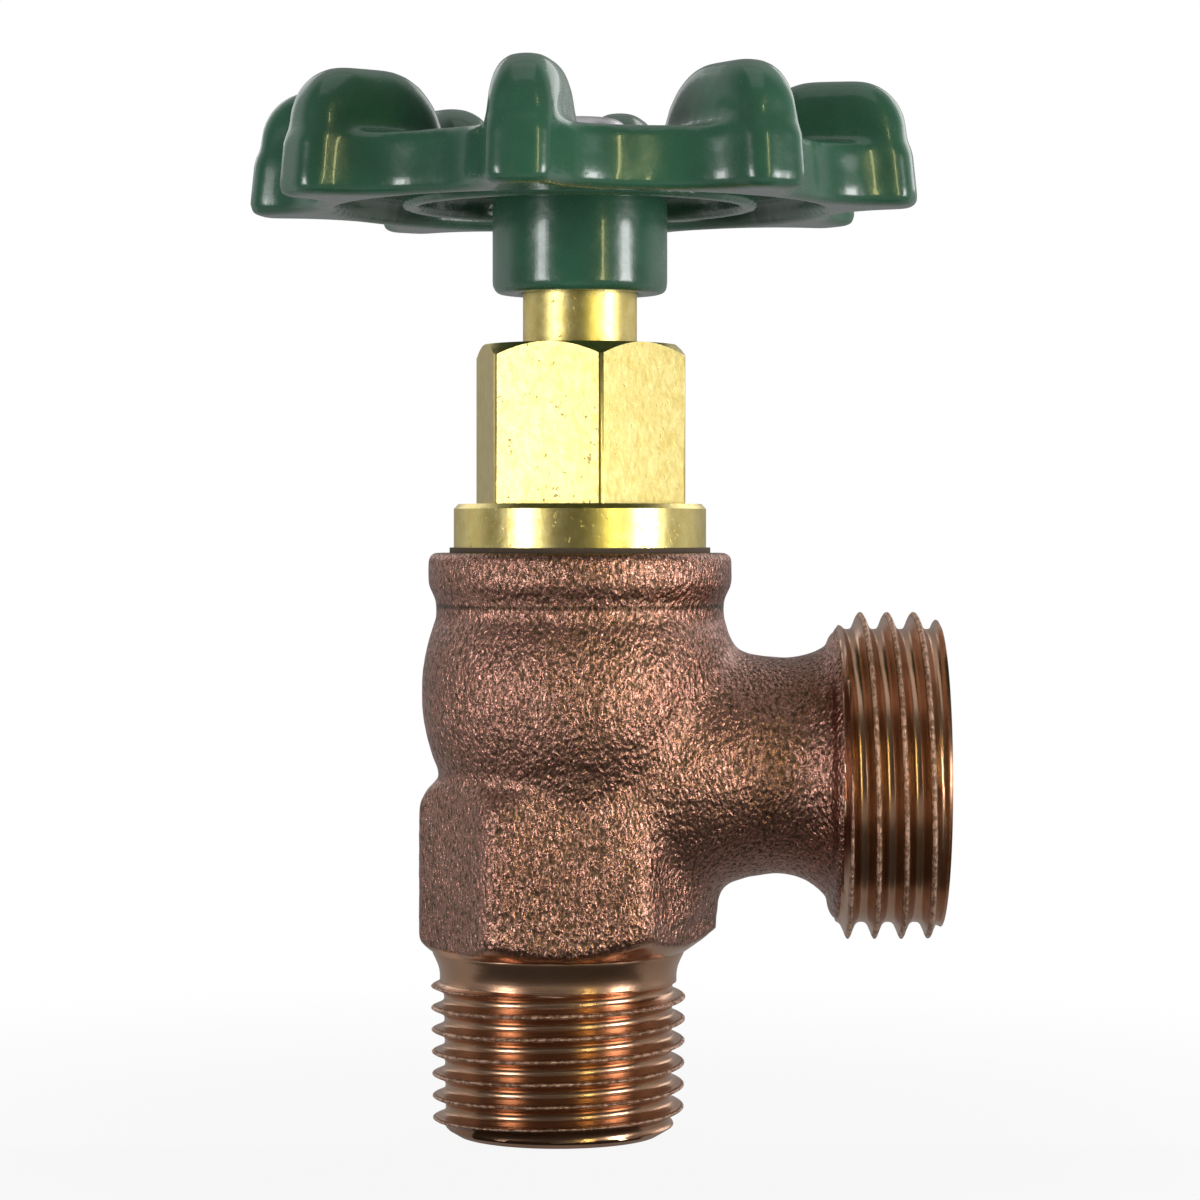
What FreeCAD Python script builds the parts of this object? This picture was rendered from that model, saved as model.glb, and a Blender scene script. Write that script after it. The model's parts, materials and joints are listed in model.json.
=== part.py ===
"""Boiler drain valve, 1/2 inch male pipe thread by 3/4 inch male garden hose thread.

Millimetres. The origin is the centre of the inlet's end face, +Z runs up along the valve and
+X points out of the hose outlet. The stem's axis stands a little to +X of the inlet's axis.
The valve is drawn closed.
"""
import FreeCAD, Part
import math
import os

import Sketcher

V = FreeCAD.Vector
doc = FreeCAD.newDocument("boiler_drain_valve")
sheet = doc.addObject("Spreadsheet::Sheet", "Sizes")


class Size:
    """A length: the text of its expression, and its value for a sketch's first guess."""

    def __init__(self, text, value):
        self.text = text
        self.value = value

    def joined(self, sign, other, value, swap=False):
        left, right = (as_text(other), self.text) if swap else (self.text, as_text(other))
        return Size(f"({left} {sign} {right})", value)

    def __add__(self, other):
        return self.joined("+", other, self.value + as_value(other))

    def __sub__(self, other):
        return self.joined("-", other, self.value - as_value(other))

    def __rsub__(self, other):
        return self.joined("-", other, as_value(other) - self.value, swap=True)

    def __mul__(self, other):
        return self.joined("*", other, self.value * as_value(other))

    def __truediv__(self, other):
        return self.joined("/", other, self.value / as_value(other))

    def __neg__(self):
        return Size(f"(-{self.text})", -self.value)

    __radd__ = __add__
    __rmul__ = __mul__


def as_text(size):
    return size.text if isinstance(size, Size) else repr(float(size))


def as_value(size):
    return size.value if isinstance(size, Size) else float(size)


def size(name, value, meaning):
    """Put one driving dimension in the sheet and hand back its Size."""
    row = size.rows = getattr(size, "rows", 0) + 1
    sheet.set(f"A{row}", meaning)
    sheet.set(f"B{row}", str(value))
    sheet.setAlias(f"B{row}", name)
    return Size(f"Sizes.{name}", value)


# Driving dimensions: axes and heights
stem_offset = size("stem_offset", 1.8, "stem axis, +X of the inlet axis")
hex_offset = size("hex_offset", 0.9, "centre of the wrench hexagon, +X of the inlet axis")
outlet_height = size("outlet_height", 29.6, "hose outlet axis above the inlet end")
body_height = size("body_height", 48.0, "top face of the body above the inlet end")

# Inlet
inlet_radius = size("inlet_radius", 10.55, "crest radius of the pipe thread")
inlet_bore_radius = size("inlet_bore_radius", 6.6, "inlet waterway")
inlet_chamfer_height = size("inlet_chamfer_height", 1.3, "height of the lead-in chamfer")
inlet_chamfer_depth = size("inlet_chamfer_depth", 1.7, "radial depth of the lead-in chamfer")
inlet_thread_length = size("inlet_thread_length", 12.6, "inlet end to the end of the pipe thread")
relief_radius = size("relief_radius", 10.35, "machined band above the pipe thread")

# Wrench hexagon of the body
hexagon_across = size("hexagon_across", 22.2, "across flats")
hexagon_bottom = size("hexagon_bottom", 15.0, "underside of the hexagon")
hexagon_top = size("hexagon_top", 29.8, "top of the hexagon, inside the lower waist")
hexagon_corner = size("hexagon_corner", 2.2, "rounding of the upright corners")
hexagon_crown = size("hexagon_crown", 3.4, "rounding of the top edges")
machined_rise = size("machined_rise", 0.72, "rise per millimetre of the machined cone")
machined_reach = size("machined_reach", 4.0, "radial reach of the machined cone")

# Globe and collar
globe_skirt = size("globe_skirt", 10.9, "globe's radius inside the hexagon")
waist_radius = size("waist_radius", 11.8, "lower waist")
waist_height = size("waist_height", 30.2, "height of the lower waist")
globe_bulge = size("globe_bulge", 16.0, "radius of the globe's profile arc")
neck_waist_radius = size("neck_waist_radius", 11.9, "upper waist")
neck_waist_height = size("neck_waist_height", 42.6, "height of the upper waist")
collar_radius = size("collar_radius", 12.55, "collar at the body's top")
collar_height = size("collar_height", 2.6, "height of the collar's straight side")
collar_taper = size("collar_taper", 1.4, "height of the taper below the collar")
collar_edge = size("collar_edge", 0.35, "chamfer on the collar's top edge")

# Hose outlet
outlet_reach = size("outlet_reach", 31.55, "outlet end face from the inlet axis")
hose_radius = size("hose_radius", 13.5, "crest radius of the hose thread")
hose_thread_length = size("hose_thread_length", 8.2, "length of the threaded end")
hose_edge = size("hose_edge", 0.5, "chamfer on the outlet end")
lip_radius = size("lip_radius", 12.4, "end of the casting's flare at the thread")
neck_radius = size("neck_radius", 8.95, "neck at its narrowest")
neck_rise = size("neck_rise", 0.8, "neck's centre above the thread's axis")
neck_reach = size("neck_reach", 18.8, "narrowest place of the neck from the inlet axis")
neck_start = size("neck_start", 7.0, "where the neck leaves the globe's inside")
hose_end_sink = size("hose_end_sink", 1.0, "how far the hose end is sunk into the neck")
outlet_bore_radius = size("outlet_bore_radius", 6.35, "waterway through the neck")
mouth_radius = size("mouth_radius", 8.6, "counterbore at the outlet's mouth")
mouth_depth = size("mouth_depth", 6.0, "depth of the counterbore")

# Seat and chamber
seat_height = size("seat_height", 22.5, "seat's face above the inlet end")
seat_bore_radius = size("seat_bore_radius", 4.75, "hole through the seat")
seat_lip_radius = size("seat_lip_radius", 6.2, "outside of the seat's raised lip")
seat_lip_height = size("seat_lip_height", 1.3, "seat's lip above the chamber floor")
seat_web = size("seat_web", 3.2, "thickness of the wall that the seat stands in")
chamber_radius = size("chamber_radius", 8.5, "chamber above the seat")
bonnet_socket_depth = size("bonnet_socket_depth", 8.4, "tapped socket for the bonnet")

# Bonnet
bonnet_thread_radius = size("bonnet_thread_radius", 9.5, "bonnet's barrel")
bonnet_barrel_length = size("bonnet_barrel_length", 8.0, "barrel below the body's top face")
thread_clearance = size("thread_clearance", 0.08, "radial clearance of a screwed fit")
gasket_thickness = size("gasket_thickness", 0.45, "bonnet gasket")
gasket_radius = size("gasket_radius", 10.8, "outside of the bonnet gasket")
flange_radius = size("flange_radius", 10.45, "bonnet's flange")
flange_height = size("flange_height", 3.6, "bonnet's flange")
flange_edge = size("flange_edge", 0.4, "chamfer on the flange's top edge")
bonnet_across = size("bonnet_across", 15.95, "bonnet's hexagon across flats")
bonnet_hex_height = size("bonnet_hex_height", 13.15, "height of the bonnet's hexagon")
bonnet_turn = size("bonnet_turn", 11.1, "degrees from a corner at the front to +X")
bonnet_chamfer = size("bonnet_chamfer", 0.7, "height of the hexagon's top chamfer")

# Stem
journal_radius = size("journal_radius", 4.725, "stem's journal")
running_clearance = size("running_clearance", 0.06, "radial running clearance")
spindle_thread_radius = size("spindle_thread_radius", 6.0, "stem's operating thread")
spindle_thread_bottom = size("spindle_thread_bottom", 38.0, "lower end of the stem's thread")
spindle_thread_length = size("spindle_thread_length", 11.5, "length of the stem's thread")
journal_bore_bottom = size("journal_bore_bottom", 55.2, "step in the bonnet's bore")
shank_radius = size("shank_radius", 5.0, "stem between its thread and its foot")
foot_radius = size("foot_radius", 3.9, "button at the stem's foot")
foot_height = size("foot_height", 2.1, "height of the button")
foot_neck_radius = size("foot_neck_radius", 2.6, "neck above the button")
shank_clearance = size("shank_clearance", 0.35, "stem's shoulder above the disc holder")
ring_section = size("ring_section", 1.5, "section of an O-ring as fitted")
ring_groove_width = size("ring_groove_width", 1.9, "width of an O-ring groove")
lower_ring_height = size("lower_ring_height", 56.1, "middle of the lower O-ring")
ring_spacing = size("ring_spacing", 2.7, "from one O-ring to the next")
square_across = size("square_across", 6.6, "square that drives the wheel")
square_bottom = size("square_bottom", 70.6, "shoulder below the square")
square_height = size("square_height", 8.2, "height of the square")

# Washer and holder at the stem's foot
seat_gap = size("seat_gap", 0.05, "washer above the seat when closed")
washer_thickness = size("washer_thickness", 3.0, "seat washer")
washer_radius = size("washer_radius", 6.8, "seat washer")
fitting_gap = size("fitting_gap", 0.05, "gap between pieces that are fitted together")
holder_radius = size("holder_radius", 8.0, "disc holder")
holder_rim = size("holder_rim", 0.7, "disc holder's wall above its retaining ring")
holder_floor = size("holder_floor", 1.4, "disc holder between the washer and the stem's foot")
holder_lip = size("holder_lip", 1.7, "disc holder's skirt beside the washer")
snap_ring_thickness = size("snap_ring_thickness", 0.8, "retaining ring in the holder")
snap_ring_bite = size("snap_ring_bite", 0.7, "how far the retaining ring reaches into its groove")
snap_ring_gap = size("snap_ring_gap", 2.0, "opening of the split retaining ring")
seat_screw_radius = size("seat_screw_radius", 1.75, "seat washer screw")
seat_screw_head_radius = size("seat_screw_head_radius", 2.9, "head of that screw")
seat_screw_head_height = size("seat_screw_head_height", 1.6, "head of that screw")
seat_screw_crown = size("seat_screw_crown", 0.7, "rounding of that head and depth of its slot")
seat_screw_slot = size("seat_screw_slot", 0.8, "width of the slot in that head")
retainer_radius = size("retainer_radius", 3.6, "brass washer under that screw's head")
retainer_thickness = size("retainer_thickness", 0.6, "brass washer under that screw's head")

# Handwheel
hub_radius = size("hub_radius", 7.25, "hub")
hub_bottom = size("hub_bottom", 69.4, "hub's lower face above the inlet end")
hub_edge = size("hub_edge", 0.4, "rounding of the hub's lower edge")
hub_top = size("hub_top", 80.2, "seat of the handwheel screw")
rim_bottom = size("rim_bottom", 76.2, "lower edge of the rim")
rim_top = size("rim_top", 81.3, "top of the rim between the fingers")
rim_radius = size("rim_radius", 21.8, "rim between the fingers")
rim_wall = size("rim_wall", 2.0, "thickness of the rim's wall")
web_underside = size("web_underside", 78.4, "underside of the web")
rib_radius = size("rib_radius", 14.7, "outside of the ring rib under the web")
rib_wall = size("rib_wall", 1.4, "thickness of the ring rib")
rib_rise = size("rib_rise", 0.2, "lower edge of the ring rib above the rim's")
dish_drop = size("dish_drop", 0.6, "web's top below the rim's top")
finger_count = size("finger_count", 8, "fingers round the rim")
rim_edge = size("rim_edge", 0.9, "rounding of the rim's lower edge")
lobe_reach = size("lobe_reach", 27.65, "outer end of a lobe of the rim from the stem's axis")
lobe_round = size("lobe_round", 1.9, "rounding of a lobe's upright corners")
lobe_flat = size("lobe_flat", 1.8, "flat width of a lobe's outer end")
finger_turn = size("finger_turn", -10, "degrees from the front to the first finger, to +X")
finger_ledge = size("finger_ledge", 0.15, "a finger's outer end inside the end of its lobe")
finger_length = size("finger_length", 13.2, "radial length of a finger")
finger_top = size("finger_top", 86.6, "top of the fingers")
finger_width = size("finger_width", 5.4, "width of a finger")
finger_outer_round = size("finger_outer_round", 4.0, "rounding at the top of the outer end")
finger_inner_round = size("finger_inner_round", 5.4, "rounding at the top of the inner end")
finger_crown = size("finger_crown", 2.3, "how far the crown drops at a finger's sides")
finger_sink = size("finger_sink", 1.2, "how far a finger is sunk into the web")
finger_heel = size("finger_heel", 0.4, "start of the inner round below the rim's top")
finger_draft = size("finger_draft", 0.25, "draft of a finger's outer end")
finger_root = size("finger_root", 1.5, "a finger's foot inside its lobe above the rim's lower edge")

# Handwheel screw
wheel_screw_radius = size("wheel_screw_radius", 2.4, "handwheel screw")
wheel_screw_length = size("wheel_screw_length", 9.5, "handwheel screw below its head")
wheel_screw_head_radius = size("wheel_screw_head_radius", 4.1, "head of that screw")
wheel_screw_head_height = size("wheel_screw_head_height", 2.6, "head of that screw")
wheel_screw_crown = size("wheel_screw_crown", 1.5, "rounding of that head")
wheel_screw_slot = size("wheel_screw_slot", 1.1, "width of the slot in that head")
wheel_screw_slot_depth = size("wheel_screw_slot_depth", 1.2, "depth of that slot")
lock_washer_radius = size("lock_washer_radius", 4.2, "lock washer under that head")
lock_washer_thickness = size("lock_washer_thickness", 1.1, "lock washer under that head")
lock_washer_slit = size("lock_washer_slit", 0.7, "slit of the lock washer")

doc.recompute()

# Proportions without a length
CLEAR = 1.2
ARC_SLACK = 1.03
TIP_SHARE = 2 / math.sqrt(3)
NECK_ROOT = ((0, 0.6, 1), (0.38, 0.39, 1), (0.65, 0.17, 1), (1, 0, 1))
NECK_FLARE = ((0.5, 0.19, 0.7), (0.75, 0.44, 0.4), (1, 1, 0))
LOBE_SPREAD = math.radians(20)
FINGER_SLICES = ((-1, 1), (-0.84, 0.42), (-0.6, 0.14), (0, 0), (0.6, 0.14), (0.84, 0.42), (1, 1))
FINGER_END_SHARES = (0.5, 0.6)

# Heights that follow from the driving dimensions
washer_bottom = seat_height + seat_gap
washer_top = washer_bottom + washer_thickness
foot_bottom = washer_top + holder_floor + fitting_gap
foot_top = foot_bottom + foot_height
snap_ring_bottom = foot_top + fitting_gap
snap_groove_top = snap_ring_bottom + snap_ring_thickness + fitting_gap
holder_top = snap_groove_top + holder_rim
flange_bottom = body_height + gasket_thickness
flange_top = flange_bottom + flange_height
bonnet_top = flange_top + bonnet_hex_height
square_top = square_bottom + square_height
journal_bore_radius = journal_radius + running_clearance
upper_ring_height = lower_ring_height + ring_spacing
ring_outside = journal_bore_radius - fitting_gap / 2
ring_groove_radius = ring_outside - ring_section
washer_seat_top = hub_top + lock_washer_thickness


# Helpers for bodies, sketches and features
def new_body(label, turn=0, axis_x=0):
    """A body whose own origin stands on the axis that the piece is drawn about."""
    body = doc.addObject("PartDesign::Body", label)
    body.Label = label
    bind(body, "Placement.Base.x", axis_x)
    if turn:
        body.Placement.Rotation = FreeCAD.Rotation(V(0, 0, 1), as_value(turn))
        bind(body, "Placement.Rotation.Angle", turn)
    return body


def bind(item, path, value):
    """Bind one property to an expression, or leave it alone where the value is nought."""
    if isinstance(value, Size):
        item.setExpression(path, value.text)


def origin_part(body, role):
    return next(part for part in body.Origin.OriginFeatures if part.Role == role)


def new_sketch(body, plane, name, shift_x=0, shift_y=0, lift=0, turn=0):
    """A sketch on one of the body's own origin planes, moved or turned within it or lifted off."""
    sketch = body.newObject("Sketcher::SketchObject", name)
    sketch.AttachmentSupport = [(origin_part(body, plane), "")]
    sketch.MapMode = "FlatFace"
    if isinstance(turn, Size):
        sketch.AttachmentOffset.Rotation = FreeCAD.Rotation(V(0, 0, 1), turn.value)
        bind(sketch, "AttachmentOffset.Rotation.Angle", turn)
    bind(sketch, "AttachmentOffset.Base.x", shift_x)
    bind(sketch, "AttachmentOffset.Base.y", shift_y)
    bind(sketch, "AttachmentOffset.Base.z", lift)
    return sketch


def hold(sketch, geometry, end, x, y):
    """Hold one end of a line or arc at x, y of the sketch."""
    for kind, axis, value in (("DistanceX", -2, x), ("DistanceY", -1, y)):
        if isinstance(value, Size):
            index = sketch.addConstraint(Sketcher.Constraint(kind, -1, 1, geometry, end, value.value))
            sketch.setExpression(f"Constraints[{index}]", value.text)
        else:
            sketch.addConstraint(Sketcher.Constraint("PointOnObject", geometry, end, axis))


def arc_centre(start, end, radius):
    """Centre of the arc of that radius, to the left of start-to-end where the radius is positive."""
    middle = (start + end) / 2
    half = (end - start).Length / 2
    along = (end - start).normalize()
    side = V(-along.y, along.x, 0)
    away = math.sqrt(max(radius * radius - half * half, 0))
    return middle + side * math.copysign(away, radius)


def outline(sketch, corners):
    """Draw a closed outline. A corner is (x, y), or (x, y, radius) where an arc leads to it."""
    points = [V(as_value(corner[0]), as_value(corner[1]), 0) for corner in corners]
    for index, corner in enumerate(corners):
        start, end = points[index - 1], points[index]
        if len(corner) == 3:
            radius = as_value(corner[2])
            centre = arc_centre(start, end, radius)
            first, last = (start, end) if radius > 0 else (end, start)
            angles = [math.atan2(point.y - centre.y, point.x - centre.x) for point in (first, last)]
            if angles[1] < angles[0]:
                angles[1] += 2 * math.pi
            circle = Part.Circle(centre, V(0, 0, 1), abs(radius))
            sketch.addGeometry(Part.ArcOfCircle(circle, angles[0], angles[1]), False)
        else:
            sketch.addGeometry(Part.LineSegment(start, end), False)
    for index, corner in enumerate(corners):
        curved = len(corner) == 3
        end = 1 if curved and as_value(corner[2]) < 0 else 2
        hold(sketch, index, end, corner[0], corner[1])
        following = (index + 1) % len(corners)
        after = corners[following]
        start = 2 if len(after) == 3 and as_value(after[2]) < 0 else 1
        sketch.addConstraint(Sketcher.Constraint("Coincident", index, end, following, start))
        if curved:
            radius = corner[2] if as_value(corner[2]) > 0 else -corner[2]
            at = sketch.addConstraint(Sketcher.Constraint("Radius", index, as_value(radius)))
            sketch.setExpression(f"Constraints[{at}]", as_text(radius))


def circle(sketch, radius, x=0, y=0):
    """Draw one circle whose radius and centre are held."""
    centre = V(as_value(x), as_value(y), 0)
    index = sketch.addGeometry(Part.Circle(centre, V(0, 0, 1), as_value(radius)), False)
    hold(sketch, index, 3, x, y)
    at = sketch.addConstraint(Sketcher.Constraint("Radius", index, as_value(radius)))
    sketch.setExpression(f"Constraints[{at}]", as_text(radius))


def box(left, right, bottom, top):
    return [(left, bottom), (right, bottom), (right, top), (left, top)]


def hexagon(across, corner=0):
    """Corners of a hexagon with a flat towards -Y and corners on X, rounded where asked."""
    corners = []
    for step in range(6):
        angle = math.radians(60 * step)
        tip_x, tip_y = math.cos(angle) / math.sqrt(3), math.sin(angle) / math.sqrt(3)
        if not as_value(corner):
            corners.append(sized_point(across, tip_x, tip_y, corner, 0, 0))
            continue
        for side in (-1, 1):
            back = angle + side * math.radians(120)
            run_x, run_y = math.cos(back) / math.sqrt(3), math.sin(back) / math.sqrt(3)
            point = sized_point(across, tip_x, tip_y, corner, run_x, run_y)
            corners.append(point if side < 0 else point + (corner,))
    return corners


def sized_point(first, first_x, first_y, second, second_x, second_y):
    """A point that is a sum of two sizes times their directions."""
    x = first * round(first_x, 9) + second * round(second_x, 9)
    y = first * round(first_y, 9) + second * round(second_y, 9)
    return (x if abs(x.value) > 1e-6 else 0, y if abs(y.value) > 1e-6 else 0)


def square(across):
    half = across / 2
    return box(-half, half, -half, half)


def turned(body, name, kind, corners, axis="V_Axis", **place):
    """Revolve an outline about the sketch's own axis, as a Revolution or a Groove."""
    sketch = new_sketch(body, "XZ_Plane", name + "_profile", **place)
    outline(sketch, corners)
    feature = body.newObject("PartDesign::" + kind, name)
    feature.Profile = sketch
    feature.ReferenceAxis = (sketch, [axis])
    feature.Angle = 360
    return feature


def raised(body, name, kind, corners, bottom, height, **place):
    """Pad or pocket an outline upwards from a height."""
    sketch = new_sketch(body, "XY_Plane", name + "_outline", lift=bottom, **place)
    outline(sketch, corners)
    feature = body.newObject("PartDesign::" + kind, name)
    feature.Profile = sketch
    feature.setExpression("Length", height.text)
    feature.Reversed = kind == "Pocket"
    return feature


# Body casting
def make_valve_body():
    body = new_body("valve_body")
    make_wrench_hexagon(body)
    make_inlet(body)
    make_globe(body)
    make_outlet(body)
    doc.recompute()
    make_waterways(body)
    return body


def make_wrench_hexagon(body):
    raised(body, "wrench_hexagon", "Pad", hexagon(hexagon_across, hexagon_corner),
           hexagon_bottom, hexagon_top - hexagon_bottom, shift_x=hex_offset)
    crown_bottom = hexagon_top - hexagon_crown
    tip = hexagon_across / 2 * TIP_SHARE - hexagon_corner * (TIP_SHARE - 1)
    outside = tip * CLEAR
    turned(body, "hexagon_crown_round", "Groove", [
        (outside, crown_bottom), (outside, hexagon_top), (tip - hexagon_crown, hexagon_top),
        (tip, crown_bottom, -hexagon_crown * ARC_SLACK)], shift_x=hex_offset)


def make_inlet(body):
    turned(body, "inlet", "Revolution", [
        (0, 0), (inlet_radius - inlet_chamfer_depth, 0), (inlet_radius, inlet_chamfer_height),
        (inlet_radius, inlet_thread_length), (relief_radius, inlet_thread_length),
        (relief_radius, hexagon_bottom), (0, hexagon_bottom)])
    cone_edge = relief_radius + machined_reach
    turned(body, "machined_cone", "Groove", [
        (relief_radius, hexagon_bottom), (cone_edge, hexagon_bottom),
        (cone_edge, hexagon_bottom + machined_reach * machined_rise)])


def make_globe(body):
    collar_bottom = body_height - collar_height
    taper_bottom = collar_bottom - collar_taper
    globe_floor = hexagon_bottom + seat_web
    turned(body, "globe", "Revolution", [
        (0, globe_floor), (globe_skirt, globe_floor),
        (globe_skirt, waist_height - hexagon_crown),
        (waist_radius, waist_height), (neck_waist_radius, neck_waist_height, globe_bulge),
        (neck_waist_radius, taper_bottom),
        (collar_radius, collar_bottom), (collar_radius, body_height - collar_edge),
        (collar_radius - collar_edge, body_height), (0, body_height)], shift_x=stem_offset)


def make_outlet(body):
    """The neck is a loft of circles that swells into the flare behind the hose thread."""
    thread_start = outlet_reach - hose_thread_length
    swell = lip_radius - neck_radius
    stations = []
    for begin, end, shares in ((neck_start, neck_reach, NECK_ROOT),
                               (neck_reach, thread_start, NECK_FLARE)):
        for along, swollen, risen in shares:
            stations.append((begin + (end - begin) * along, neck_radius + swell * swollen,
                             outlet_height + neck_rise * risen))
    sections = []
    for index, (reach, radius, height) in enumerate(stations):
        sketch = new_sketch(body, "YZ_Plane", f"neck_section_{index}", lift=reach)
        circle(sketch, radius, 0, height)
        sections.append(sketch)
    neck = body.newObject("PartDesign::AdditiveLoft", "neck")
    neck.Profile = sections[0]
    neck.Sections = sections[1:]
    neck.Ruled = False
    sunk = thread_start - hose_end_sink
    turned(body, "hose_end", "Revolution", [
        (sunk, 0), (outlet_reach, 0), (outlet_reach, hose_radius - hose_edge),
        (outlet_reach - hose_edge, hose_radius), (thread_start, hose_radius),
        (thread_start, lip_radius), (sunk, lip_radius - hose_end_sink)],
        axis="H_Axis", shift_y=outlet_height)


def make_waterways(body):
    floor = seat_height - seat_lip_height
    web_bottom = seat_height - seat_web
    turned(body, "inlet_bore", "Groove", box(0, inlet_bore_radius, 0, web_bottom))
    thread_bore = bonnet_thread_radius + thread_clearance
    socket_floor = body_height - bonnet_socket_depth
    turned(body, "chamber", "Groove", [
        (0, web_bottom), (seat_bore_radius, web_bottom), (seat_bore_radius, seat_height),
        (seat_lip_radius, seat_height), (seat_lip_radius + seat_lip_height / 2, floor),
        (chamber_radius, floor), (chamber_radius, socket_floor), (thread_bore, socket_floor),
        (thread_bore, body_height), (0, body_height)], shift_x=stem_offset)
    mouth_start = outlet_reach - mouth_depth
    turned(body, "outlet_bore", "Groove", [
        (stem_offset, 0), (outlet_reach, 0), (outlet_reach, mouth_radius),
        (mouth_start, mouth_radius), (mouth_start, outlet_bore_radius),
        (stem_offset, outlet_bore_radius)], axis="H_Axis", shift_y=outlet_height)


# Bonnet and its gasket
def make_bonnet():
    body = new_body("bonnet", axis_x=stem_offset)
    barrel_bottom = body_height - bonnet_barrel_length
    turned(body, "barrel_and_flange", "Revolution", [
        (0, barrel_bottom), (bonnet_thread_radius, barrel_bottom),
        (bonnet_thread_radius, flange_bottom), (flange_radius, flange_bottom),
        (flange_radius, flange_top - flange_edge), (flange_radius - flange_edge, flange_top),
        (0, flange_top)])
    corner_turn = bonnet_turn + 30
    raised(body, "hexagon_head", "Pad", hexagon(bonnet_across), flange_top, bonnet_hex_height,
           turn=corner_turn)
    inside = bonnet_across / 2
    outside = inside * CLEAR
    turned(body, "hexagon_chamfer", "Groove", [
        (inside, bonnet_top), (outside, bonnet_top - bonnet_chamfer), (outside, bonnet_top)])
    thread_bore = spindle_thread_radius + thread_clearance
    turned(body, "stem_bore", "Groove", [
        (0, barrel_bottom), (thread_bore, barrel_bottom), (thread_bore, journal_bore_bottom),
        (journal_bore_radius, journal_bore_bottom), (journal_bore_radius, bonnet_top),
        (0, bonnet_top)])
    return body


def make_gasket():
    body = new_body("bonnet_gasket", axis_x=stem_offset)
    inside = bonnet_thread_radius + fitting_gap
    turned(body, "ring", "Revolution", box(inside, gasket_radius, body_height, flange_bottom))
    return body


# Stem, its seals and the washer at its foot
def make_stem():
    body = new_body("stem", axis_x=stem_offset)
    neck_top = holder_top + shank_clearance
    thread_top = spindle_thread_bottom + spindle_thread_length
    turned(body, "spindle", "Revolution", [
        (0, foot_bottom), (foot_radius, foot_bottom), (foot_radius, foot_top),
        (foot_neck_radius, foot_top), (foot_neck_radius, neck_top), (shank_radius, neck_top),
        (shank_radius, spindle_thread_bottom), (spindle_thread_radius, spindle_thread_bottom),
        (spindle_thread_radius, thread_top), (journal_radius, thread_top),
        (journal_radius, square_bottom), (0, square_bottom)])
    raised(body, "drive_square", "Pad", square(square_across), square_bottom, square_height,
           turn=finger_turn)
    for name, middle in (("lower", lower_ring_height), ("upper", upper_ring_height)):
        half = ring_groove_width / 2
        outside = journal_radius + running_clearance
        turned(body, name + "_ring_groove", "Groove",
               box(ring_groove_radius, outside, middle - half, middle + half))
    hole = wheel_screw_radius + fitting_gap
    hole_bottom = washer_seat_top - wheel_screw_length - fitting_gap
    turned(body, "screw_hole", "Groove", box(0, hole, hole_bottom, square_top))
    return body


def make_o_ring(name, middle):
    body = new_body(name, axis_x=stem_offset)
    sketch = new_sketch(body, "XZ_Plane", "section")
    circle(sketch, ring_section / 2, ring_outside - ring_section / 2, middle)
    ring = body.newObject("PartDesign::Revolution", "ring")
    ring.Profile = sketch
    ring.ReferenceAxis = (sketch, ["V_Axis"])
    ring.Angle = 360
    return body


def make_disc_holder():
    body = new_body("disc_holder", axis_x=stem_offset)
    cup = washer_radius + fitting_gap
    socket = foot_radius + running_clearance
    screw_hole = seat_screw_radius + fitting_gap
    floor_top = washer_top + holder_floor
    turned(body, "cup", "Revolution", [
        (screw_hole, washer_top), (cup, washer_top), (cup, washer_top - holder_lip),
        (holder_radius, washer_top - holder_lip), (holder_radius, holder_top),
        (socket, holder_top), (socket, snap_groove_top),
        (socket + snap_ring_bite, snap_groove_top), (socket + snap_ring_bite, foot_top),
        (socket, foot_top), (socket, floor_top), (screw_hole, floor_top)])
    return body


def make_retaining_ring():
    body = new_body("holder_retaining_ring", axis_x=stem_offset)
    inside = foot_neck_radius + running_clearance * 2
    outside = foot_radius + snap_ring_bite
    turned(body, "ring", "Revolution", box(
        inside, outside, snap_ring_bottom, snap_ring_bottom + snap_ring_thickness))
    raised(body, "split", "Pocket",
           box(0, outside * CLEAR, -(snap_ring_gap / 2), snap_ring_gap / 2),
           snap_ring_bottom, snap_ring_thickness)
    return body


def make_seat_washer():
    body = new_body("seat_washer", axis_x=stem_offset)
    hole = seat_screw_radius + fitting_gap
    turned(body, "disc", "Revolution", box(hole, washer_radius, washer_bottom, washer_top))
    return body


def make_washer_retainer():
    body = new_body("washer_retainer", axis_x=stem_offset)
    hole = seat_screw_radius + fitting_gap
    turned(body, "disc", "Revolution", box(
        hole, retainer_radius, washer_bottom - retainer_thickness, washer_bottom))
    return body


def make_seat_screw():
    body = new_body("seat_washer_screw", axis_x=stem_offset)
    head_top = washer_bottom - retainer_thickness
    head_bottom = head_top - seat_screw_head_height
    tip = washer_top + holder_floor - fitting_gap
    turned(body, "screw", "Revolution", [
        (0, head_bottom), (seat_screw_head_radius - seat_screw_crown, head_bottom),
        (seat_screw_head_radius, head_bottom + seat_screw_crown, seat_screw_crown),
        (seat_screw_head_radius, head_top), (seat_screw_radius, head_top),
        (seat_screw_radius, tip), (0, tip)])
    half = seat_screw_slot / 2
    raised(body, "slot", "Pocket", box(
        -seat_screw_head_radius, seat_screw_head_radius, -half, half),
        head_bottom, seat_screw_crown)
    return body


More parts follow.
